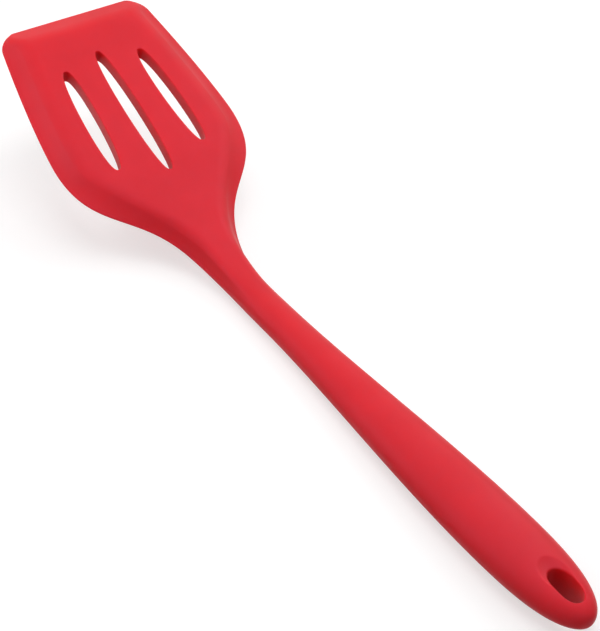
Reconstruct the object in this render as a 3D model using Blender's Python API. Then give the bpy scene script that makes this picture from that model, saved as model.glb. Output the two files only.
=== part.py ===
"""A slotted turner of moulded silicone over a stainless steel core, in metres, +Z up.

It lies as it does on a worktop: the underside of its handle on the floor plane, and the blade rising
towards its front edge at -X. Places along the tool are measured from that front edge, along the
underside, through the bend.
"""
import math

import bmesh
import bpy
from mathutils import Matrix, Vector

# Whole tool
TOTAL_LENGTH = 0.3350
BEND_AT = 0.1271
BEND_LENGTH = 0.0374
BEND_ANGLE = math.radians(23.5)

# Blade outline
FRONT_WIDTH = 0.0640
CORNER_RADIUS = 0.0083
BLADE_WIDTH = 0.0800
WIDEST_AT = 0.0676
FLARE_POWER = 1.45
SHOULDER_LENGTH = 0.0865
SHOULDER_ROUND = 0.0398
NECK_SWEEP = 0.0617
NECK_WIDTH = 0.0136

# Blade thickness: a thin edge, bevels, and a raised middle
EDGE_HEIGHT = 0.0010
EDGE_ROUND = 0.0005
EDGE_BLUNTNESS = 0.35
BLADE_HEIGHT = 0.0065
FRONT_BEVEL = 0.0100
FRONT_SOFTNESS = 0.35
SIDE_BEVEL = 0.0093
BEVEL_HOLLOW = 0.0004
CREASE_SOFTNESS = 0.0032
MIDDLE_LENGTH = 0.0717
MIDDLE_REAR_LENGTH = 0.0604
MIDDLE_SHOULDER = 0.0152
MIDDLE_SWEEP = 0.0289
NECK_FLANK = 0.0013

# Neck and handle
RISE_AT = 0.0916
RISE_LENGTH = 0.0670
NECK_HEIGHT = 0.0104
FLANK_RISE_AT = 0.1000
FLANK_SHARE = 0.31
OVAL_AT = 0.1200
OVAL_LENGTH = 0.0450
OVAL_POWER = 2.2
GRIP_HEIGHT = 0.0153
GRIP_WIDTH = 0.0231
SLIM_LENGTH = 0.0159
SWELL_LENGTH = 0.1200
END_ROUND = 0.0580
END_POWER = 3.9
END_FULLNESS = 0.71

# Slots through the blade
SLOT_WIDTH = 0.0070
SLOT_POWER = 2.6
CENTRE_SLOT_LENGTH = 0.0630
CENTRE_SLOT_AT = 0.0563
SIDE_SLOT_LENGTH = 0.0507
SIDE_SLOT_AT = 0.0550
SIDE_SLOT_OFFSET = 0.0178
SIDE_SLOT_SPLAY = math.radians(2.7)

# Hanging hole, and the scoop that leads a hook into it
HOLE_LENGTH = 0.0127
HOLE_WIDTH = 0.0065
HOLE_POWER = 2.3
HOLE_TO_END = 0.00525
SCOOP_REACH = 0.0108
SCOOP_DEPTH = 0.0017
SCOOP_MARGIN = 0.0020
SCOOP_BALL = 0.0085

# Flat strip under the handle that it rests on, as a share of its width
FOOT_SHARE = 0.35

# Steel sheet inside the blade
SHEET_HEIGHT = 0.0005
SHEET_UP = 0.0029
SHEET_INSET = 0.0020
SHEET_CORNER = 0.0060
SHEET_TO_SLOT = 0.0016
SHEET_KEY_DIAMETER = 0.0030
SHEET_KEY_PITCH = 0.0180
SHEET_KEY_BEHIND = 0.0060
TONGUE_AT = 0.0850
TONGUE_END = 0.1270
TONGUE_WIDTH = 0.0080
TONGUE_DROP = 0.0011

# Steel bar inside the handle, spot-welded on the sheet's tongue
BAR_AT = 0.1160
BAR_HEIGHT = 0.0040
BAR_SKIN = 0.0022
BAR_CORNER = 0.0020
BAR_EDGE = 0.0006
BAR_TO_SCOOP = 0.0015
KEY_COUNT = 5
KEY_LENGTH = 0.0140
KEY_WIDTH = 0.0045
KEY_POWER_ALONG = 5.0
KEY_POWER_ACROSS = 2.2
WELD_GAP = 0.00005

# Between the core and the silicone, and the pins that held the core in the mould
CORE_GAP = 0.0003
PIN_DIAMETER = 0.0032
PIN_FROM_END = 0.0080

# Worked out from the sizes above
NECK_AT = WIDEST_AT + SHOULDER_LENGTH
SWELL_AT = NECK_AT + SLIM_LENGTH
BEND_END = BEND_AT + BEND_LENGTH
BEND_RADIUS = BEND_LENGTH / BEND_ANGLE
END_AT = TOTAL_LENGTH - END_ROUND
HOLE_AT = TOTAL_LENGTH - HOLE_TO_END - HOLE_LENGTH / 2
SCOOP_START = HOLE_AT - HOLE_LENGTH / 2 - SCOOP_REACH
SHEET_FRONT = FRONT_BEVEL + SHEET_INSET
BAR_END = SCOOP_START - BAR_TO_SCOOP
CUT_SPARE = 0.004
SILICONE_RED = (0.708, 0.033, 0.045)
STEEL_GREY = (0.560, 0.565, 0.570)


def step(u):
    """Smooth step from 0 to 1."""
    u = min(max(u, 0.0), 1.0)
    return u * u * (3 - 2 * u)


def soft_ramp(u, softness):
    """Rises evenly from 0 and levels off at 1 round a soft corner."""
    if u <= 1 - softness:
        return max(u, 0.0)
    if u >= 1 + softness:
        return 1.0
    return u - (u - 1 + softness) ** 2 / (4 * softness)


def power_curve(angle, power):
    """Point of a unit oval that fills its corners more as the power grows."""
    c, s = math.cos(angle), math.sin(angle)
    share = 2 / power
    return (
        math.copysign(abs(c) ** share, c),
        math.copysign(abs(s) ** share, s),
    )


def level_curve(place, start, start_size, end, end_size, start_pull, end_pull):
    """Size at a place on a cubic curve that leaves its start and meets its end level."""
    if place <= start:
        return start_size
    if place >= end:
        return end_size
    low, high = 0.0, 1.0
    for _ in range(40):
        t = (low + high) / 2
        r = 1 - t
        here = r ** 3 * start + 3 * r * r * t * (start + start_pull)
        here += 3 * r * t * t * (end - end_pull) + t ** 3 * end
        if here < place:
            low = t
        else:
            high = t
    share = 3 * t * t - 2 * t ** 3
    return start_size + (end_size - start_size) * share


def corner_loss(into, radius):
    """Width that a rounded corner takes off, so far into it."""
    left = min(max(radius - into, 0.0), radius)
    return radius - math.sqrt(radius ** 2 - left ** 2)


def half_width(s):
    """Half the tool's width, seen square to its underside."""
    if s < WIDEST_AT:
        flare = (1 - s / WIDEST_AT) ** FLARE_POWER
        half = (BLADE_WIDTH - (BLADE_WIDTH - FRONT_WIDTH) * flare) / 2
    else:
        half = level_curve(
            s, WIDEST_AT, BLADE_WIDTH / 2, NECK_AT, NECK_WIDTH / 2, SHOULDER_ROUND, NECK_SWEEP
        )
    half += (GRIP_WIDTH - NECK_WIDTH) / 2 * step((s - SWELL_AT) / SWELL_LENGTH)
    return (half - corner_loss(s, CORNER_RADIUS)) * end_share(s)


def end_share(s):
    """How far the rounded end has closed in: 1 before it, 0 at its tip."""
    u = min(max((s - END_AT) / END_ROUND, 0.0), 1.0)
    return math.sqrt(1 - u ** END_POWER)


def height(s):
    """Height of the top over the underside."""
    tall = EDGE_HEIGHT + (BLADE_HEIGHT - EDGE_HEIGHT) * soft_ramp(s / FRONT_BEVEL, FRONT_SOFTNESS)
    tall += (NECK_HEIGHT - BLADE_HEIGHT) * step((s - RISE_AT) / RISE_LENGTH)
    grip_from = RISE_AT + RISE_LENGTH
    along = (s - grip_from) / (TOTAL_LENGTH - grip_from)
    return tall + (GRIP_HEIGHT - NECK_HEIGHT) * min(max(along, 0.0), 1.0)


def middle_half(s):
    """Half the width of the raised middle, between its two creases."""
    if s < MIDDLE_LENGTH:
        risen = (height(s) - EDGE_HEIGHT) / (BLADE_HEIGHT - EDGE_HEIGHT)
        return half_width(s) - SIDE_BEVEL * risen
    rear = MIDDLE_LENGTH + MIDDLE_REAR_LENGTH
    return level_curve(
        s,
        MIDDLE_LENGTH,
        half_width(MIDDLE_LENGTH) - SIDE_BEVEL,
        rear,
        NECK_WIDTH / 2 - NECK_FLANK,
        MIDDLE_SHOULDER,
        MIDDLE_SWEEP,
    )


def bevelled_half(s):
    """Half section of the blade, from under its middle round the edge to the top of its middle."""
    half, middle, top = half_width(s), middle_half(s), height(s)
    rise = step((s - FLANK_RISE_AT) / (OVAL_AT + OVAL_LENGTH - FLANK_RISE_AT))
    edge = EDGE_HEIGHT + (FLANK_SHARE * top - EDGE_HEIGHT) * rise
    inner = half - EDGE_ROUND
    points = [Vector((inner * share, 0)) for share in (0, 0.35, 0.7, 1)]
    for degrees in (-60, -30, 0):
        turn = math.radians(degrees)
        points.append(Vector((inner + EDGE_ROUND * math.cos(turn), EDGE_ROUND * (1 + math.sin(turn)))))
    for degrees in (35, 70):
        turn = math.radians(degrees)
        points.append(
            Vector((inner + EDGE_ROUND * math.cos(turn), edge - EDGE_ROUND * (1 - math.sin(turn))))
        )
    foot, crease = points[-1], Vector((middle, top))
    slope = crease - foot
    soft = min(CREASE_SOFTNESS, 0.45 * slope.length, 0.45 * middle)
    near = crease - slope.normalized() * soft
    far = crease - Vector((soft, 0))
    for share in (0.35, 0.7):
        hollow = BEVEL_HOLLOW * min(slope.length / SIDE_BEVEL, 1) * 4 * share * (1 - share)
        points.append(foot.lerp(near, share) - Vector((0, hollow)))
    for share in (0, 1 / 3, 2 / 3, 1):
        points.append(near.lerp(crease, share).lerp(crease.lerp(far, share), share))
    points.append(Vector((far.x / 2, top)))
    points.append(Vector((0, top)))
    return points


def oval_half(s, lower, upper):
    """Half section of the handle, with lower and upper counts of steps below and above its widest line."""
    half, top = half_width(s), height(s)
    turns = [-math.pi / 2 * (1 - i / lower) for i in range(lower)]
    turns += [math.pi / 2 * i / upper for i in range(upper + 1)]
    points = []
    for turn in turns:
        across, up = power_curve(turn, OVAL_POWER)
        if up < 0 and across < FOOT_SHARE:
            up = -1
        points.append(Vector((half * across, top / 2 * (1 + up))))
    return points


def body_section(s):
    """Closed section of the silicone body: bevelled in the blade, oval in the handle."""
    lower, upper = 6, 10
    oval = step((s - OVAL_AT) / OVAL_LENGTH)
    points = [a.lerp(b, oval) for a, b in zip(bevelled_half(s), oval_half(s, lower, upper))]
    squeeze = 1.0
    round_front = EDGE_HEIGHT / 2
    if s < round_front:
        squeeze = EDGE_BLUNTNESS + (1 - EDGE_BLUNTNESS) * math.sqrt(1 - (1 - s / round_front) ** 2)
    squeeze *= end_share(s) ** END_FULLNESS
    mid = height(s) / 2
    right = [(p.x, mid + (p.y - mid) * squeeze) for p in points]
    left = [(-y, z) for y, z in right[-2:0:-1]]
    return right + left


def spine(s):
    """Where the underside runs: a frame with X along the tool and Z out of its top."""
    bent = min(max(BEND_END - s, 0.0), BEND_LENGTH) / BEND_RADIUS
    straight = max(BEND_AT - s, 0.0)
    x = max(s - BEND_END, 0.0) - BEND_RADIUS * math.sin(bent) - straight * math.cos(bent)
    z = BEND_RADIUS * (1 - math.cos(bent)) + straight * math.sin(bent)
    return Matrix.Translation((x, 0, z)) @ Matrix.Rotation(bent, 4, "Y")


def spaced(start, end, count):
    return [start + (end - start) * i / count for i in range(count)]


def body_stations():
    """Places of the sections, closer where the outline turns."""
    turns = 9
    places = [CORNER_RADIUS * (1 - math.cos(math.pi / 2 * i / turns)) for i in range(turns)]
    places += spaced(CORNER_RADIUS, FRONT_BEVEL * 1.25, 3)
    places += spaced(FRONT_BEVEL * 1.25, WIDEST_AT, 12)
    places += spaced(WIDEST_AT, NECK_AT, 28)
    places += spaced(NECK_AT, END_AT, 26)
    tips = 12
    places += [END_AT + END_ROUND * math.sin(math.pi / 2 * i / (tips + 0.2)) for i in range(tips + 1)]
    places.append(BEND_END)
    return sorted(places)


def lofted(name, places, section):
    """Closed solid skinned over the sections at the given places."""
    bm = bmesh.new()
    rings = []
    for s in places:
        frame = spine(s)
        rings.append([bm.verts.new(frame @ Vector((0, y, z))) for y, z in section(s)])
    count = len(rings[0])
    for ring, following in zip(rings, rings[1:]):
        for i in range(count):
            j = (i + 1) % count
            bm.faces.new((ring[i], ring[j], following[j], following[i]))
    bm.faces.new(rings[0])
    bm.faces.new(rings[-1])
    bmesh.ops.recalc_face_normals(bm, faces=bm.faces)
    return new_object(name, bm)


def new_object(name, bm):
    mesh = bpy.data.meshes.new(name)
    bm.to_mesh(mesh)
    bm.free()
    return bpy.data.objects.new(name, mesh)


def prism(name, outline, low, high, frame):
    """Upright cutter over a closed plan outline."""
    bm = bmesh.new()
    floor = bm.faces.new([bm.verts.new((x, y, low)) for x, y in outline])
    raised = bmesh.ops.extrude_face_region(bm, geom=[floor])
    tops = [v for v in raised["geom"] if isinstance(v, bmesh.types.BMVert)]
    bmesh.ops.translate(bm, verts=tops, vec=(0, 0, high - low))
    bmesh.ops.recalc_face_normals(bm, faces=bm.faces)
    bmesh.ops.transform(bm, matrix=frame, verts=bm.verts)
    return new_object(name, bm)


def oval_outline(length, width, power_along, power_across, count):
    """Closed plan outline that is pointed or full by its two powers."""
    points = []
    for i in range(count):
        turn = 2 * math.pi * (i + 0.5) / count
        c, s = math.cos(turn), math.sin(turn)
        points.append(
            (
                length / 2 * math.copysign(abs(c) ** (2 / power_along), c),
                width / 2 * math.copysign(abs(s) ** (2 / power_across), s),
            )
        )
    return points


def slot_cutters(label, wall):
    """The three slots, each grown all round by a wall."""
    made = []
    layout = (
        ("centre", CENTRE_SLOT_AT, CENTRE_SLOT_LENGTH, 0),
        ("left", SIDE_SLOT_AT, SIDE_SLOT_LENGTH, -1),
        ("right", SIDE_SLOT_AT, SIDE_SLOT_LENGTH, 1),
    )
    for side_name, place, length, side in layout:
        outline = oval_outline(length + 2 * wall, SLOT_WIDTH + 2 * wall, 2, SLOT_POWER, 36)
        splay = Matrix.Rotation(side * SIDE_SLOT_SPLAY, 4, "Z")
        frame = spine(place) @ Matrix.Translation((0, side * SIDE_SLOT_OFFSET, 0)) @ splay
        name = f"{label}_{side_name}"
        made.append(prism(name, outline, -CUT_SPARE, BLADE_HEIGHT + CUT_SPARE, frame))
    return made


def hole_cutter():
    outline = oval_outline(HOLE_LENGTH, HOLE_WIDTH, HOLE_POWER, HOLE_POWER, 32)
    return prism("hanging_hole", outline, -CUT_SPARE, GRIP_HEIGHT + CUT_SPARE, spine(HOLE_AT))


def scoop_cutter():
    """Ball pressed into the top, pulled long, that dishes the near rim of the hanging hole."""
    rim = SCOOP_BALL - SCOOP_DEPTH
    reach = math.sqrt(SCOOP_BALL ** 2 - rim ** 2)
    bm = bmesh.new()
    bmesh.ops.create_uvsphere(bm, u_segments=40, v_segments=24, radius=SCOOP_BALL)
    stretch = (SCOOP_REACH + HOLE_WIDTH / 2) / reach
    spread = (HOLE_WIDTH / 2 + SCOOP_MARGIN) / reach
    bmesh.ops.scale(bm, vec=(stretch, spread, 1), verts=bm.verts)
    centre = SCOOP_START + stretch * reach
    frame = spine(centre) @ Matrix.Translation((0, 0, height(centre) + rim))
    bmesh.ops.transform(bm, matrix=frame, verts=bm.verts)
    return new_object("scoop", bm)


def tongue_share(s):
    """0 where the sheet follows the blade, 1 where it has become its narrow tongue."""
    return step((s - TONGUE_AT) / (BAR_AT - TONGUE_AT))


def sheet_solid(name, grow):
    """Sheet as wide as the raised middle of the blade. Its narrow tongue is pressed down under the bar."""
    start, end = SHEET_FRONT - grow, TONGUE_END + grow
    corner = SHEET_CORNER + grow

    def section(s):
        share = tongue_share(s)
        wide = middle_half(s) - SHEET_INSET
        half = wide + (TONGUE_WIDTH / 2 - wide) * share + grow - corner_loss(s - start, corner)
        low = SHEET_UP - TONGUE_DROP * share - grow
        high = low + SHEET_HEIGHT + 2 * grow
        return [(half, low), (half, high), (-half, high), (-half, low)]

    places = [start + corner * (1 - math.cos(math.pi / 2 * i / 6)) for i in range(6)]
    places += spaced(start + corner, TONGUE_AT, 10)
    places += spaced(TONGUE_AT, end, 10)
    places.append(end)
    return lofted(name, places, section)


def sheet_keys(label, shrink):
    """Holes through the sheet, in two rows between the slots, that the silicone fills."""
    slot_front = CENTRE_SLOT_AT - CENTRE_SLOT_LENGTH / 2
    slot_rear = CENTRE_SLOT_AT + CENTRE_SLOT_LENGTH / 2
    places = [(SHEET_FRONT + slot_front) / 2]
    places += [CENTRE_SLOT_AT + SHEET_KEY_PITCH * i for i in (-1, 0, 1)]
    places.append(slot_rear + SHEET_KEY_BEHIND)
    width = SHEET_KEY_DIAMETER - 2 * shrink
    made = []
    for side in (-1, 1):
        for i, place in enumerate(places):
            outline = oval_outline(width, width, 2, 2, 16)
            frame = spine(place) @ Matrix.Translation((0, side * SIDE_SLOT_OFFSET / 2, 0))
            name = f"{label}_{'right' if side > 0 else 'left'}_{i + 1}"
            made.append(prism(name, outline, -CUT_SPARE, BLADE_HEIGHT + CUT_SPARE, frame))
    return made


def bar_low(s):
    """Height of the bar's underside: on the sheet's tongue, then midway in the handle."""
    tongue_top = SHEET_UP - TONGUE_DROP + SHEET_HEIGHT
    return max(tongue_top + WELD_GAP, (height(s) - BAR_HEIGHT) / 2)


def bar_solid(name, grow):
    """Flat bar cut to the handle's outline, with a round rear end."""
    start, end = BAR_AT - grow, BAR_END + grow
    corner, edge = BAR_CORNER + grow, BAR_EDGE + grow
    round_end = GRIP_WIDTH / 2 - BAR_SKIN + grow

    def section(s):
        half = half_width(max(s, NECK_AT)) - BAR_SKIN + grow
        half -= corner_loss(s - start, corner)
        if s > end - round_end:
            half *= math.sqrt(max(1 - ((s - end + round_end) / round_end) ** 2, 0.01))
        low = bar_low(s) - grow
        high = bar_low(s) + BAR_HEIGHT + grow
        side = min(edge, 0.9 * half)
        points = []
        for quarter in range(4):
            y = (half - side) * (1 if quarter in (0, 3) else -1)
            z = high - side if quarter in (0, 1) else low + side
            for i in range(3):
                turn = math.pi / 2 * (quarter + i / 2)
                points.append((y + side * math.cos(turn), z + side * math.sin(turn)))
        return points

    places = [start + corner * (1 - math.cos(math.pi / 2 * i / 4)) for i in range(4)]
    places += spaced(start + corner, BEND_END, 12)
    places += spaced(BEND_END, end - round_end, 14)
    places += [end - round_end * (1 - math.sin(math.pi / 2 * i / 7)) for i in range(8)]
    return lofted(name, places, section)


def bar_windows(label, shrink):
    """Windows along the bar, which the silicone runs through and so cannot slide or turn."""
    first, last = SWELL_AT, BAR_END - GRIP_WIDTH / 2
    pitch = (last - first - KEY_LENGTH) / (KEY_COUNT - 1)
    made = []
    for i in range(KEY_COUNT):
        outline = oval_outline(
            KEY_LENGTH - 2 * shrink, KEY_WIDTH - 2 * shrink, KEY_POWER_ALONG, KEY_POWER_ACROSS, 20
        )
        place = first + KEY_LENGTH / 2 + pitch * i
        made.append(prism(f"{label}_{i + 1}", outline, -CUT_SPARE, GRIP_HEIGHT + CUT_SPARE, spine(place)))
    return made


def pin_cutters():
    """Holes left in the handle's underside by the pins that held the bar in the mould."""
    first = SWELL_AT - PIN_FROM_END
    last = BAR_END - PIN_FROM_END
    made = []
    for i, place in enumerate((first, last)):
        bm = bmesh.new()
        depth = CUT_SPARE + bar_low(place)
        radius = PIN_DIAMETER / 2
        bmesh.ops.create_cone(bm, cap_ends=True, segments=20, radius1=radius, radius2=radius, depth=depth)
        frame = spine(place) @ Matrix.Translation((0, 0, bar_low(place) - depth / 2))
        bmesh.ops.transform(bm, matrix=frame, verts=bm.verts)
        made.append(new_object(f"mould_pin_{i + 1}", bm))
    return made


def finish(name, colour, roughness, metallic):
    material = bpy.data.materials.new(name)
    material.use_nodes = True
    shader = material.node_tree.nodes["Principled BSDF"]
    shader.inputs["Base Color"].default_value = (*colour, 1)
    shader.inputs["Roughness"].default_value = roughness
    shader.inputs["Metallic"].default_value = metallic
    return material


def cut(target, cutters, helpers):
    """Takes each cutter out of the target, and files it with the helpers."""
    for cutter in cutters:
        helpers.objects.link(cutter)
        cutter.parent = target.parent
        cutter.hide_render = True
        cutter.display_type = "WIRE"
        modifier = target.modifiers.new("cut_" + cutter.name, "BOOLEAN")
        modifier.operation = "DIFFERENCE"
        modifier.solver = "EXACT"
        modifier.object = cutter


def smooth(target, material):
    target.data.materials.append(material)
    target.data.shade_smooth()
    target.data.set_sharp_from_angle(angle=math.radians(35))


def steel_core(parts, helpers, holder):
    """The sheet and the bar, welded where the bar lies on the sheet's tongue."""
    steel = finish("stainless_steel", STEEL_GREY, 0.35, 1.0)
    sheet = sheet_solid("blade_sheet", 0)
    bar = bar_solid("handle_bar", 0)
    for piece in (sheet, bar):
        piece.parent = holder
        parts.objects.link(piece)
        smooth(piece, steel)
    cut(sheet, slot_cutters("sheet_slot", SHEET_TO_SLOT) + sheet_keys("sheet_key", 0), helpers)
    cut(bar, bar_windows("bar_window", 0), helpers)


def core_pockets(helpers, holder):
    """What the sheet and the bar take up inside the silicone, with a gap all round them."""
    sheet = sheet_solid("sheet_pocket", CORE_GAP)
    bar = bar_solid("bar_pocket", CORE_GAP)
    for pocket in (sheet, bar):
        pocket.parent = holder
    slots = slot_cutters("sheet_pocket_slot", SHEET_TO_SLOT - CORE_GAP)
    cut(sheet, slots + sheet_keys("sheet_pocket_key", CORE_GAP), helpers)
    cut(bar, bar_windows("bar_pocket_window", CORE_GAP), helpers)
    return [sheet, bar]


def silicone_body(parts, helpers, holder):
    body = lofted("silicone_body", body_stations(), body_section)
    body.parent = holder
    parts.objects.link(body)
    smooth(body, finish("red_silicone", SILICONE_RED, 0.5, 0.0))
    cut(body, slot_cutters("slot", 0), helpers)
    cut(body, [hole_cutter(), scoop_cutter()], helpers)
    cut(body, core_pockets(helpers, holder), helpers)
    cut(body, pin_cutters(), helpers)


def main():
    for obj in list(bpy.data.objects):
        bpy.data.objects.remove(obj)
    parts = bpy.data.collections.new("slotted_spatula")
    helpers = bpy.data.collections.new("cutters")
    for collection in (parts, helpers):
        bpy.context.scene.collection.children.link(collection)
    front, tip = spine(0).translation.x, spine(TOTAL_LENGTH).translation.x
    holder = bpy.data.objects.new("handle_frame", None)
    holder.location = (-(front + tip) / 2, 0, 0)
    parts.objects.link(holder)
    steel_core(parts, helpers, holder)
    silicone_body(parts, helpers, holder)


main()
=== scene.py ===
"""A slotted silicone turner on a white worktop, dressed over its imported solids. Lengths are in metres."""
import math

import bmesh
import bpy
from mathutils import Matrix, Vector


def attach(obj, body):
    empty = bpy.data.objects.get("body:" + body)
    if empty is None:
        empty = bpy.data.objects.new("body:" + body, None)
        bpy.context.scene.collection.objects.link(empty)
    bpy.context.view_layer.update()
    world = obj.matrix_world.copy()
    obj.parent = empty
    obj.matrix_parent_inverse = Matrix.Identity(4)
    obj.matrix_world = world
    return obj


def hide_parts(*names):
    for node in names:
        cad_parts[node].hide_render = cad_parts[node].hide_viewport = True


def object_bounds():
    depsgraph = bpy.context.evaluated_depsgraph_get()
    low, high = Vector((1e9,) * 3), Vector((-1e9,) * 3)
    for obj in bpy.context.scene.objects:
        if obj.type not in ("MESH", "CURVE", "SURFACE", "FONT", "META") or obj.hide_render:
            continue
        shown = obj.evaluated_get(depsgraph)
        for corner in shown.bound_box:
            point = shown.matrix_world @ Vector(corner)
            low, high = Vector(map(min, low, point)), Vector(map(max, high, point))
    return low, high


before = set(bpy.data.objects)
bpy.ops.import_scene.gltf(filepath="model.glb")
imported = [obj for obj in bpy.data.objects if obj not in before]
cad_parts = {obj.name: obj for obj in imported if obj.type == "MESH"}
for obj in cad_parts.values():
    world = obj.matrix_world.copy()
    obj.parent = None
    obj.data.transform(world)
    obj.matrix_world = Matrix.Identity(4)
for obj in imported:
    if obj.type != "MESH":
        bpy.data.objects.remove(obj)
cad_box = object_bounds()


# Steel core: a sheet that stiffens the blade and a bar that stiffens the handle, laser-cut from rolled stainless
# stock, spot-welded and overmoulded. Only the bar shows, at the bottom of the two holes that the mould's pins
# left under the handle. Rolling gives it a soft streaky shine, with its lines drawn coarse, at 0.3 mm, to show.
STEEL_LIGHT = "#C9CACC"
STEEL_DARK = "#B2B4B7"
STEEL_ROUGHNESS = 0.32
ROLLING_LINES = 0.0003
ROLLING_STRETCH = 40
ROLLING_DEPTH = 0.00001
ROLLING_STRENGTH = 0.4
NOISE_SPAN = {"From Min": 0.3, "From Max": 0.7}


def linear(code):
    """Turns an sRGB hex colour into linear red, green, blue and alpha."""
    shares = [int(code[i : i + 2], 16) / 255 for i in (1, 3, 5)]
    return [c / 12.92 if c <= 0.04045 else ((c + 0.055) / 1.055) ** 2.4 for c in shares] + [1.0]


def add_node(material, kind, settings=(), links=()):
    """Adds one node with its settings, and feeds its sockets from the outputs that links names."""
    node = material.node_tree.nodes.new(kind)
    for name, value in dict(settings).items():
        if hasattr(node, name):
            setattr(node, name, value)
        else:
            node.inputs[name].default_value = value
    for name, output in dict(links).items():
        material.node_tree.links.new(output, node.inputs[name])
    return node


def new_material(name):
    material = bpy.data.materials.new(name)
    material.use_nodes = True
    return material, material.node_tree.nodes["Principled BSDF"]


steel, steel_shader = new_material("rolled_stainless_steel")
place = add_node(steel, "ShaderNodeTexCoord").outputs["Object"]
lines_place = add_node(
    steel, "ShaderNodeMapping", {"Scale": (1 / ROLLING_STRETCH, 1, 1)}, {"Vector": place}
).outputs["Vector"]
lines = add_node(
    steel, "ShaderNodeTexNoise", {"Scale": 1 / ROLLING_LINES, "Detail": 3.0}, {"Vector": lines_place}
).outputs["Fac"]
steel_share = add_node(steel, "ShaderNodeMapRange", NOISE_SPAN, {"Value": lines}).outputs["Result"]
steel_colour = add_node(
    steel,
    "ShaderNodeMixRGB",
    {"Color1": linear(STEEL_DARK), "Color2": linear(STEEL_LIGHT)},
    {"Fac": steel_share},
).outputs["Color"]
steel.node_tree.links.new(steel_colour, steel_shader.inputs["Base Color"])
steel_bump = add_node(
    steel, "ShaderNodeBump", {"Strength": ROLLING_STRENGTH, "Distance": ROLLING_DEPTH}, {"Height": lines}
).outputs["Normal"]
steel.node_tree.links.new(steel_bump, steel_shader.inputs["Normal"])
steel_shader.inputs["Metallic"].default_value = 1.0
steel_shader.inputs["Roughness"].default_value = STEEL_ROUGHNESS
for name in ("blade_sheet", "handle_bar"):
    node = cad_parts[name]
    node.data.materials.clear()
    node.data.materials.append(steel)


# Silicone body, from above: one moulding that is blade, neck and handle in one. The blade is widest two thirds of
# the way back, sweeps in to a slim neck and swells again to an oval handle with a round end. Places are measured
# along the underside from the blade's front edge, and the tool is bent once, where the neck starts.
TOTAL_LENGTH = 0.3350
BEND_AT = 0.1271
BEND_LENGTH = 0.0374
BEND_ANGLE = math.radians(23.5)
BEND_END = BEND_AT + BEND_LENGTH
BEND_RADIUS = BEND_LENGTH / BEND_ANGLE
FRONT_WIDTH = 0.0640
CORNER_RADIUS = 0.0083
BLADE_WIDTH = 0.0800
WIDEST_AT = 0.0676
FLARE_POWER = 1.45
NECK_AT = 0.1541
NECK_WIDTH = 0.0136
SHOULDER_ROUND = 0.0398
NECK_SWEEP = 0.0617
SWELL_AT = 0.1700
SWELL_LENGTH = 0.1200
GRIP_WIDTH = 0.0231
END_ROUND = 0.0580
END_POWER = 3.9
END_FULLNESS = 0.71
END_AT = TOTAL_LENGTH - END_ROUND
HALVINGS = 40


def step(u):
    """Smooth step from 0 to 1."""
    u = min(max(u, 0.0), 1.0)
    return u * u * (3 - 2 * u)


def level_curve(place, start, start_size, end, end_size, start_pull, end_pull):
    """Size at a place on a cubic curve that leaves its start and meets its end level."""
    if place <= start:
        return start_size
    if place >= end:
        return end_size
    low, high = 0.0, 1.0
    for _ in range(HALVINGS):
        t = (low + high) / 2
        r = 1 - t
        here = r**3 * start + 3 * r * r * t * (start + start_pull)
        here += 3 * r * t * t * (end - end_pull) + t**3 * end
        if here < place:
            low = t
        else:
            high = t
    return start_size + (end_size - start_size) * (3 * t * t - 2 * t**3)


def end_share(s):
    """How far the round end has closed in: 1 before it, 0 at its tip."""
    u = min(max((s - END_AT) / END_ROUND, 0.0), 1.0)
    return math.sqrt(1 - u**END_POWER)


def half_width(s):
    """Half the tool's width, seen square to its underside."""
    if s < WIDEST_AT:
        half = (BLADE_WIDTH - (BLADE_WIDTH - FRONT_WIDTH) * (1 - s / WIDEST_AT) ** FLARE_POWER) / 2
    else:
        half = level_curve(s, WIDEST_AT, BLADE_WIDTH / 2, NECK_AT, NECK_WIDTH / 2, SHOULDER_ROUND, NECK_SWEEP)
    half += (GRIP_WIDTH - NECK_WIDTH) / 2 * step((s - SWELL_AT) / SWELL_LENGTH)
    left = min(max(CORNER_RADIUS - s, 0.0), CORNER_RADIUS)
    half -= CORNER_RADIUS - math.sqrt(CORNER_RADIUS**2 - left**2)
    return half * end_share(s)


def spine(s):
    """Where the underside runs: a frame with X along the tool and Z out of its top, centred as the solids are."""
    bent = min(max(BEND_END - s, 0.0), BEND_LENGTH) / BEND_RADIUS
    straight = max(BEND_AT - s, 0.0)
    reach = BEND_RADIUS * math.sin(BEND_ANGLE) + BEND_AT * math.cos(BEND_ANGLE)
    centre = (TOTAL_LENGTH - BEND_END - reach) / 2
    x = max(s - BEND_END, 0.0) - BEND_RADIUS * math.sin(bent) - straight * math.cos(bent) - centre
    z = BEND_RADIUS * (1 - math.cos(bent)) + straight * math.sin(bent)
    return Matrix.Translation((x, 0, z)) @ Matrix.Rotation(bent, 4, "Y")


# Silicone body, in section: the blade has a thin edge that slides under food, then hollow bevels that rise to a
# raised middle over the steel sheet. Through the neck the section closes up into the handle's full oval. All of
# its corners are soft, because silicone is pulled off its mould and a sharp corner would tear.
EDGE_HEIGHT = 0.0010
EDGE_ROUND = 0.0005
EDGE_LEAN = math.radians(70)
TIP_HEIGHT_SHARE = 0.2
BLADE_HEIGHT = 0.0065
FRONT_BEVEL = 0.0100
FRONT_SOFTNESS = 0.35
SIDE_BEVEL = 0.0093
BEVEL_HOLLOW = 0.0004
CREASE_SOFTNESS = 0.0032
CREASE_LIMIT = 0.45
MIDDLE_LENGTH = 0.0717
MIDDLE_REAR_LENGTH = 0.0604
MIDDLE_SHOULDER = 0.0152
MIDDLE_SWEEP = 0.0289
NECK_FLANK = 0.0013
RISE_AT = 0.0916
RISE_LENGTH = 0.0670
NECK_HEIGHT = 0.0104
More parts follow.
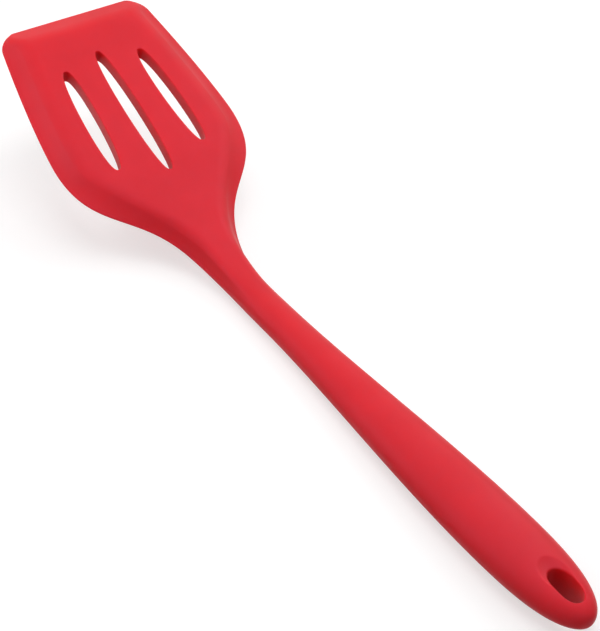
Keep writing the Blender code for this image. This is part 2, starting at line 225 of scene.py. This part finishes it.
GRIP_HEIGHT = 0.0153
FLANK_RISE_AT = 0.1000
FLANK_SHARE = 0.31
OVAL_AT = 0.1200
OVAL_LENGTH = 0.0450
OVAL_POWER = 2.2
FOOT_SHARE = 0.35


def height(s):
    """Height of the top over the underside."""
    u = s / FRONT_BEVEL
    if u > 1 - FRONT_SOFTNESS:
        u = 1.0 if u >= 1 + FRONT_SOFTNESS else u - (u - 1 + FRONT_SOFTNESS) ** 2 / (4 * FRONT_SOFTNESS)
    tall = EDGE_HEIGHT + (BLADE_HEIGHT - EDGE_HEIGHT) * u
    tall += (NECK_HEIGHT - BLADE_HEIGHT) * step((s - RISE_AT) / RISE_LENGTH)
    grip_from = RISE_AT + RISE_LENGTH
    return tall + (GRIP_HEIGHT - NECK_HEIGHT) * max(s - grip_from, 0.0) / (TOTAL_LENGTH - grip_from)


def middle_half(s):
    """Half the width of the raised middle, between its two creases."""
    if s < MIDDLE_LENGTH:
        return half_width(s) - SIDE_BEVEL * (height(s) - EDGE_HEIGHT) / (BLADE_HEIGHT - EDGE_HEIGHT)
    rear = MIDDLE_LENGTH + MIDDLE_REAR_LENGTH
    wide, slim = half_width(MIDDLE_LENGTH) - SIDE_BEVEL, NECK_WIDTH / 2 - NECK_FLANK
    return level_curve(s, MIDDLE_LENGTH, wide, rear, slim, MIDDLE_SHOULDER, MIDDLE_SWEEP)


def blade_half(s, stops):
    """Half section of the blade: 0 to 3 runs along the underside, to 8 round the edge, to 11 up the bevel, to 14
    over the soft crease and to 16 along the top."""
    half, middle, top = half_width(s), middle_half(s), height(s)
    rise = step((s - FLANK_RISE_AT) / (OVAL_AT + OVAL_LENGTH - FLANK_RISE_AT))
    edge = EDGE_HEIGHT + (FLANK_SHARE * top - EDGE_HEIGHT) * rise
    inner = half - EDGE_ROUND
    foot = Vector((inner + EDGE_ROUND * math.cos(EDGE_LEAN), edge - EDGE_ROUND * (1 - math.sin(EDGE_LEAN))))
    crease = Vector((middle, top))
    slope = crease - foot
    soft = min(CREASE_SOFTNESS, CREASE_LIMIT * slope.length, CREASE_LIMIT * middle)
    near, far = crease - slope.normalized() * soft, crease - Vector((soft, 0))
    points = []
    for stop in stops:
        if stop <= 3:
            points.append(Vector((inner * stop / 3, 0)))
        elif stop <= 6:
            turn = math.radians(30 * (stop - 6))
            points.append(Vector((inner + EDGE_ROUND * math.cos(turn), EDGE_ROUND * (1 + math.sin(turn)))))
        elif stop <= 8:
            turn = EDGE_LEAN * (stop - 6) / 2
            points.append(
                Vector((inner + EDGE_ROUND * math.cos(turn), edge - EDGE_ROUND * (1 - math.sin(turn))))
            )
        elif stop <= 11:
            share = (stop - 8) / 3
            hollow = BEVEL_HOLLOW * min(slope.length / SIDE_BEVEL, 1) * 4 * share * (1 - share)
            points.append(foot.lerp(near, share) - Vector((0, hollow)))
        elif stop <= 14:
            share = (stop - 11) / 3
            points.append(near.lerp(crease, share).lerp(crease.lerp(far, share), share))
        else:
            points.append(Vector((far.x * (16 - stop) / 2, top)))
    return points


def oval_half(s, stops):
    """Half section of the handle, through the same stops: its widest line is at 6. It stands on a flat strip."""
    half, top = half_width(s), height(s)
    points = []
    for stop in stops:
        turn = math.pi / 2 * (stop / 6 - 1 if stop < 6 else (stop - 6) / 10)
        across = math.cos(turn) ** (2 / OVAL_POWER) if stop < 16 else 0.0
        up = math.copysign(abs(math.sin(turn)) ** (2 / OVAL_POWER), turn)
        if turn < 0 and across < FOOT_SHARE:
            up = -1
        points.append(Vector((half * across, top / 2 * (1 + up))))
    return points


# Hanging hole and its scoop: the round end is pierced by an oval hole, and a thumb-wide dish on its blade side
# leads a hook in. The scoop's rim is a crisp crescent with a slight round. The dish is shorter and 0.6 mm deeper
# than the solid's, and the hole half a millimetre longer and wider, because the photo shows them so.
HOLE_LENGTH = 0.0132
HOLE_WIDTH = 0.0070
HOLE_POWER = 2.3
HOLE_TO_END = 0.0049
HOLE_AT = TOTAL_LENGTH - HOLE_TO_END - HOLE_LENGTH / 2
SCOOP_REACH = 0.0055
SCOOP_DEPTH = 0.0023
SCOOP_MARGIN = 0.0034
SCOOP_BALL = 0.0085
SCOOP_SOFTNESS = 0.00012
SCOOP_START = HOLE_AT - HOLE_LENGTH / 2 - SCOOP_REACH


def scooped(s, y, z):
    """Height of a point of the top after the scoop is pressed in."""
    rim = SCOOP_BALL - SCOOP_DEPTH
    reach = math.sqrt(SCOOP_BALL**2 - rim**2)
    stretch = (SCOOP_REACH + HOLE_WIDTH / 2) / reach
    spread = (HOLE_WIDTH / 2 + SCOOP_MARGIN) / reach
    centre = SCOOP_START + stretch * reach
    out = ((s - centre) / (SCOOP_BALL * stretch)) ** 2 + (y / (SCOOP_BALL * spread)) ** 2
    if out >= 1:
        return z
    ball = height(centre) + rim - SCOOP_BALL * math.sqrt(1 - out)
    near = max(SCOOP_SOFTNESS - abs(z - ball), 0) / SCOOP_SOFTNESS
    return min(z, ball) - near * near * SCOOP_SOFTNESS / 4


def body_section(s):
    """Closed section of the body in its own place: bevelled in the blade, oval in the handle. Its stops lie half
    a step apart along the underside, a third of a step round the edge and a quarter of a step from there up."""
    stops = [i / 2 for i in range(6)] + [3 + i / 3 for i in range(9)] + [6 + i / 4 for i in range(41)]
    oval = step((s - OVAL_AT) / OVAL_LENGTH)
    points = [a.lerp(b, oval) for a, b in zip(blade_half(s, stops), oval_half(s, stops))]
    squeeze = end_share(s) ** END_FULLNESS
    if s < EDGE_HEIGHT / 2:
        closing = math.sqrt(1 - (1 - 2 * s / EDGE_HEIGHT) ** 2)
        squeeze = TIP_HEIGHT_SHARE + (1 - TIP_HEIGHT_SHARE) * closing
    mid = height(s) / 2
    right = [(p.x, mid + (p.y - mid) * squeeze) for p in points]
    if s > SCOOP_START - SCOOP_REACH:
        right = [(y, scooped(s, y, z) if z > mid else z) for y, z in right]
    ring = right + [(-y, z) for y, z in right[-2:0:-1]]
    frame_here = spine(s)
    return [frame_here @ Vector((0, y, z)) for y, z in ring]


def body_stations():
    """Places of the sections, closer together where the form turns. The last stops just short of the tip, so that
    it keeps a width."""
    fronts, tips, short = 5, 140, 0.1
    places = [EDGE_HEIGHT / 2 * (1 - math.cos(math.pi / 2 * i / fronts)) for i in range(fronts)]
    bevel_end = FRONT_BEVEL * 1.25
    runs = (
        (EDGE_HEIGHT / 2, CORNER_RADIUS, 22),
        (CORNER_RADIUS, bevel_end, 10),
        (bevel_end, WIDEST_AT, 38),
        (WIDEST_AT, NECK_AT, 76),
        (NECK_AT, END_AT, 76),
    )
    for start, end, count in runs:
        places += [start + (end - start) * i / count for i in range(count)]
    places += [END_AT + END_ROUND * math.sin(math.pi / 2 * i / (tips + short)) for i in range(tips + 1)]
    return places


def skin(name, rings):
    """Closed surface over a row of rings: a circle set to the first, then extruded from each ring to the next."""
    bm = bmesh.new()
    ring = bmesh.ops.create_circle(bm, segments=len(rings[0]), radius=1)["verts"]
    for points in rings:
        if points is not rings[0]:
            edges = [bm.edges.get(pair) for pair in zip(ring, ring[1:] + ring[:1])]
            made = bmesh.ops.extrude_edge_only(bm, edges=edges)["geom"]
            grown = {v for v in made if isinstance(v, bmesh.types.BMVert)}
            ring = [next(e.other_vert(v) for e in v.link_edges if e.other_vert(v) in grown) for v in ring]
        for vert, point in zip(ring, points):
            vert.co = point
    bmesh.ops.holes_fill(bm, edges=bm.edges)
    bmesh.ops.recalc_face_normals(bm, faces=bm.faces)
    mesh = bpy.data.meshes.new(name)
    bm.to_mesh(mesh)
    bm.free()
    piece = bpy.data.objects.new(name, mesh)
    bpy.context.scene.collection.objects.link(piece)
    return piece


body = skin("silicone_turner", [body_section(s) for s in body_stations()])


# Slots: three long ovals through the raised middle of the blade, so that oil drains while the food stays on. The
# outer two splay a little with the blade's sides. Their rims are rounded to 0.4 mm at both faces, as moulded.
SLOT_WIDTH = 0.0070
SLOT_POWER = 2.6
CENTRE_SLOT_LENGTH = 0.0630
CENTRE_SLOT_AT = 0.0563
SIDE_SLOT_LENGTH = 0.0507
SIDE_SLOT_AT = 0.0550
SIDE_SLOT_OFFSET = 0.0178
SIDE_SLOT_SPLAY = math.radians(2.7)
SLOT_POINTS = 110
SLOT_RIM = 0.0004
RIM_LEAN = math.radians(78)
RIM_STEPS = 6
CUT_SPARE = 0.003


def oval_outline(length, width, power_along, power_across, count):
    """Closed outline of points and the outward direction at each."""
    points = []
    for i in range(count):
        turn = 2 * math.pi * (i + 0.5) / count
        c, s = math.cos(turn), math.sin(turn)
        x = length / 2 * math.copysign(abs(c) ** (2 / power_along), c)
        points.append(Vector((x, width / 2 * math.copysign(abs(s) ** (2 / power_across), s))))
    outline = []
    for before, point, after in zip(points[-1:] + points, points, points[1:] + points[:1]):
        along = (after - before).normalized()
        outline.append((point, Vector((along.y, -along.x))))
    return outline


def rim_rows(radius):
    """Rows of a rounded rim as steps outward and down from the face. The first two lie clear above the face, and
    the round meets it at a slight angle, so that the cut is clean."""
    rows = []
    for i in range(RIM_STEPS + 1):
        turn = RIM_LEAN * (1 - i / RIM_STEPS)
        rows.append((radius * (1 - math.cos(turn)), radius * (1 - math.sin(turn))))
    out, down = rows[0]
    out, down = out + radius / 2, down - radius / 2 / math.tan(RIM_LEAN)
    return [(out, -CUT_SPARE), (out, down)] + rows


def through_cutter(name, outline, radius, low, high, place):
    """Cutter for a through hole whose wall opens out round a rim at each face. low and high give the faces."""
    rows = rim_rows(radius)
    rings = []
    for face, sign, order in ((high, -1, rows), (low, 1, rows[::-1])):
        for out, down in order:
            spots = [point + away * out for point, away in outline]
            rings.append([place @ Vector((p.x, p.y, face(p.x, p.y) + sign * down)) for p in spots])
    return skin(name, rings)


def cut(piece, cutters):
    """Takes the cutters out of a piece for good, and removes them."""
    for cutter in cutters:
        modifier = piece.modifiers.new(cutter.name, "BOOLEAN")
        modifier.solver = "EXACT"
        modifier.object = cutter
    bpy.context.view_layer.update()
    whole = bpy.data.meshes.new_from_object(piece.evaluated_get(bpy.context.evaluated_depsgraph_get()))
    piece.modifiers.clear()
    piece.data = whole
    for cutter in cutters:
        bpy.data.objects.remove(cutter)


slot_cutters = []
for side, at, length in (
    (0, CENTRE_SLOT_AT, CENTRE_SLOT_LENGTH),
    (-1, SIDE_SLOT_AT, SIDE_SLOT_LENGTH),
    (1, SIDE_SLOT_AT, SIDE_SLOT_LENGTH),
):
    splay = Matrix.Rotation(side * SIDE_SLOT_SPLAY, 4, "Z")
    place = spine(at) @ Matrix.Translation((0, side * SIDE_SLOT_OFFSET, 0)) @ splay
    outline = oval_outline(length, SLOT_WIDTH, 2, SLOT_POWER, SLOT_POINTS)
    slot_cutters.append(
        through_cutter("slot", outline, SLOT_RIM, lambda x, y: 0.0, lambda x, y: BLADE_HEIGHT, place)
    )
cut(body, slot_cutters)


# Hole through the round end, and two holes under the handle where pins held the bar in the mould. The hole's rims
# follow the curved faces and the scoop, and are rounded to 0.5 mm so that a hook doesn't cut into them.
HOLE_RIM = 0.0005
HOLE_POINTS = 80
PIN_DIAMETER = 0.0032
PIN_RIM = 0.0003
PIN_POINTS = 40
PIN_PLACES = (0.1620, 0.29675)
PIN_OVERLAP = 0.00005
BAR_HEIGHT = 0.0040


def oval_rise(s, y):
    """How far the oval handle rises and falls from its mid height at a place in its plan."""
    share = min(abs(y) / half_width(s), 1)
    return height(s) / 2 * end_share(s) ** END_FULLNESS * (1 - share**OVAL_POWER) ** (1 / OVAL_POWER)


hole_cutter = through_cutter(
    "hanging_hole",
    oval_outline(HOLE_LENGTH, HOLE_WIDTH, HOLE_POWER, HOLE_POWER, HOLE_POINTS),
    HOLE_RIM,
    lambda x, y: height(HOLE_AT + x) / 2 - oval_rise(HOLE_AT + x, y),
    lambda x, y: scooped(HOLE_AT + x, y, height(HOLE_AT + x) / 2 + oval_rise(HOLE_AT + x, y)),
    spine(HOLE_AT),
)
pin_cutters = []
for at in PIN_PLACES:
    outline = oval_outline(PIN_DIAMETER, PIN_DIAMETER, 2, 2, PIN_POINTS)
    depth = (height(at) - BAR_HEIGHT) / 2 + PIN_OVERLAP
    rings = [
        [spine(at) @ Vector((p.x + away.x * out, p.y + away.y * out, down)) for p, away in outline]
        for out, down in rim_rows(PIN_RIM) + [(0, depth)]
    ]
    pin_cutters.append(skin("mould_pin", rings))
cut(body, [hole_cutter] + pin_cutters)


# Silicone rubber, cured in a steel mould with a fine blasted finish: soft to the eye, with broad dull highlights
# and a pale bloom at grazing angles. Light goes a few millimetres in, reddest where the blade is thin. The
# blasted grain is about 0.05 mm, drawn here at 0.25 mm so that it shows; the pigment is mixed to slight clouds.
SILICONE_DEEP = "#D7181D"
SILICONE_BRIGHT = "#DD1B21"
PIGMENT_CLOUD = 0.018
BLASTED_GRAIN = 0.00025
BLASTED_DEPTH = 0.00001
BLASTED_STRENGTH = 0.3
HANDLING_PATCH = 0.030
SILICONE_ROUGHNESS = {"To Min": 0.48, "To Max": 0.56}
SILICONE_IOR = 1.41
SILICONE_GLOSS = 0.30
SILICONE_GLOSS_TINT = (1.0, 0.65, 1.0, 1.0)
LIGHT_DEPTH = 0.005
LIGHT_DEPTH_SHARES = (1.0, 0.12, 0.12)
BLOOM = 0.03
BLOOM_ROUGHNESS = 0.5

silicone, silicone_shader = new_material("red_silicone_rubber")
place = add_node(silicone, "ShaderNodeTexCoord").outputs["Object"]
cloud = add_node(
    silicone, "ShaderNodeTexNoise", {"Scale": 1 / PIGMENT_CLOUD, "Detail": 2.0}, {"Vector": place}
).outputs["Fac"]
pigment_share = add_node(silicone, "ShaderNodeMapRange", NOISE_SPAN, {"Value": cloud}).outputs["Result"]
pigment = add_node(
    silicone,
    "ShaderNodeMixRGB",
    {"Color1": linear(SILICONE_DEEP), "Color2": linear(SILICONE_BRIGHT)},
    {"Fac": pigment_share},
).outputs["Color"]
silicone.node_tree.links.new(pigment, silicone_shader.inputs["Base Color"])
patch = add_node(
    silicone, "ShaderNodeTexNoise", {"Scale": 1 / HANDLING_PATCH, "Detail": 1.0}, {"Vector": place}
).outputs["Fac"]
roughness = add_node(
    silicone, "ShaderNodeMapRange", NOISE_SPAN | SILICONE_ROUGHNESS, {"Value": patch}
).outputs["Result"]
silicone.node_tree.links.new(roughness, silicone_shader.inputs["Roughness"])
grain = add_node(
    silicone, "ShaderNodeTexNoise", {"Scale": 1 / BLASTED_GRAIN, "Detail": 1.0}, {"Vector": place}
).outputs["Fac"]
grain_bump = add_node(
    silicone, "ShaderNodeBump", {"Strength": BLASTED_STRENGTH, "Distance": BLASTED_DEPTH}, {"Height": grain}
).outputs["Normal"]
silicone.node_tree.links.new(grain_bump, silicone_shader.inputs["Normal"])
for socket, value in (
    ("IOR", SILICONE_IOR),
    ("Specular IOR Level", SILICONE_GLOSS),
    ("Specular Tint", SILICONE_GLOSS_TINT),
    ("Subsurface Weight", 1.0),
    ("Subsurface Radius", LIGHT_DEPTH_SHARES),
    ("Subsurface Scale", LIGHT_DEPTH),
    ("Sheen Weight", BLOOM),
    ("Sheen Roughness", BLOOM_ROUGHNESS),
):
    silicone_shader.inputs[socket].default_value = value
body.data.materials.clear()
body.data.materials.append(silicone)
body.data.shade_smooth()
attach(body, "root")
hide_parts("silicone_body")


# Worktop: a matt white laminate sheet that runs on past the picture. To the camera it glows by a little more than
# it lacks to full white, so that it is white where nothing shades it and holds a light shadow of the turner. The
# glow grows outward as the light falls off, so the sheet runs into the white room without a horizon.
WORKTOP_WHITE = "#BCBCBC"
WORKTOP_ROUGHNESS = 0.9
WORKTOP_GLOW = 0.58
WORKTOP_FAR_GLOW = 0.88
LIT_REACH = 0.15
UNLIT_FROM = 0.80
WORKTOP_REACH = 6.0

worktop_mesh = bpy.data.meshes.new("worktop")
bm = bmesh.new()
bmesh.ops.create_grid(bm, x_segments=1, y_segments=1, size=WORKTOP_REACH)
bmesh.ops.translate(bm, vec=(0, 0, cad_box[0][2]), verts=bm.verts)
bm.to_mesh(worktop_mesh)
bm.free()
worktop = bpy.data.objects.new("worktop", worktop_mesh)
bpy.context.scene.collection.objects.link(worktop)
laminate, laminate_shader = new_material("white_laminate")
laminate_shader.inputs["Base Color"].default_value = linear(WORKTOP_WHITE)
laminate_shader.inputs["Roughness"].default_value = WORKTOP_ROUGHNESS
laminate_shader.inputs["Specular IOR Level"].default_value = 0.0


def seen_directly(material):
    """1 for the camera and in reflections, 0 for the light that falls on other things."""
    rays = add_node(material, "ShaderNodeLightPath").outputs
    mirrored = add_node(
        material,
        "ShaderNodeMath",
        {"operation": "MAXIMUM"},
        {0: rays["Is Glossy Ray"], 1: rays["Is Transmission Ray"]},
    ).outputs["Value"]
    return add_node(
        material, "ShaderNodeMath", {"operation": "MAXIMUM"}, {0: rays["Is Camera Ray"], 1: mirrored}
    ).outputs["Value"]


place = add_node(laminate, "ShaderNodeTexCoord").outputs["Object"]
far = add_node(laminate, "ShaderNodeVectorMath", {"operation": "LENGTH"}, {0: place}).outputs["Value"]
lacking = add_node(
    laminate,
    "ShaderNodeMapRange",
    {
        "interpolation_type": "SMOOTHSTEP",
        "From Min": LIT_REACH,
        "From Max": UNLIT_FROM,
        "To Min": WORKTOP_GLOW,
        "To Max": WORKTOP_FAR_GLOW,
    },
    {"Value": far},
).outputs["Result"]
glow = add_node(
    laminate, "ShaderNodeMath", {"operation": "MULTIPLY"}, {0: seen_directly(laminate), 1: lacking}
).outputs["Value"]
laminate_shader.inputs["Emission Color"].default_value = (1, 1, 1, 1)
laminate.node_tree.links.new(glow, laminate_shader.inputs["Emission Strength"])
worktop_mesh.materials.append(laminate)


# Light: a dim, evenly white room and five soft boxes. Two hang low beside the blade, one on each side, two higher
# over the neck and the handle, and a large weak one far behind the blade, so that the tops are all bright and the
# handle's flank and round end fall into shade.
ROOM_STRENGTH = 0.24
SOFT_BOXES = (
    ((-0.24, -0.34, 0.30), 0.35, 0.86),
    ((-0.10, 0.42, 0.35), 0.35, 0.56),
    ((0.02, 0.33, 0.46), 0.35, 0.74),
    ((0.05, 0.00, 0.60), 0.35, 1.30),
    ((-0.83, 0.55, 0.85), 1.00, 0.60),
)

world = bpy.data.worlds.new("white_room")
bpy.context.scene.world = world
world.use_nodes = True
room = world.node_tree.nodes["Background"]
room.inputs["Color"].default_value = (1, 1, 1, 1)
strength = add_node(
    world, "ShaderNodeMapRange", {"To Min": ROOM_STRENGTH, "To Max": 1.0}, {"Value": seen_directly(world)}
)
world.node_tree.links.new(strength.outputs["Result"], room.inputs["Strength"])
for i, (spot, size, power) in enumerate(SOFT_BOXES):
    lamp = bpy.data.lights.new(f"soft_box_{i + 1}", "AREA")
    lamp.shape = "SQUARE"
    lamp.size = size
    lamp.energy = power
    box = bpy.data.objects.new(f"soft_box_{i + 1}", lamp)
    box.matrix_world = Matrix.Translation(spot) @ (-Vector(spot)).to_track_quat("-Z", "Y").to_matrix().to_4x4()
    box.visible_camera = False
    bpy.context.scene.collection.objects.link(box)


# Camera: half a metre away on the handle's side, 40 degrees up, fitted to the photo's outline.
IMAGE_HEIGHT = 631
FOCAL_PIXELS = 1300
CAMERA_PLACE = Vector((0.305632, -0.188923, 0.312726))
CAMERA_RIGHT = Vector((0.551322, 0.834180, -0.013710))
CAMERA_UP = Vector((-0.533286, 0.365000, 0.763139))

camera = bpy.data.cameras.new("camera")
camera.sensor_fit = "VERTICAL"
camera.lens = FOCAL_PIXELS * camera.sensor_height / IMAGE_HEIGHT
camera.clip_start = 0.01
eye = bpy.data.objects.new("camera", camera)
eye.matrix_world = Matrix.Translation(CAMERA_PLACE) @ Matrix(
    (CAMERA_RIGHT, CAMERA_UP, CAMERA_RIGHT.cross(CAMERA_UP))
).transposed().to_4x4()
bpy.context.scene.collection.objects.link(eye)
bpy.context.scene.camera = eye
bpy.context.scene.view_settings.view_transform = "Standard"
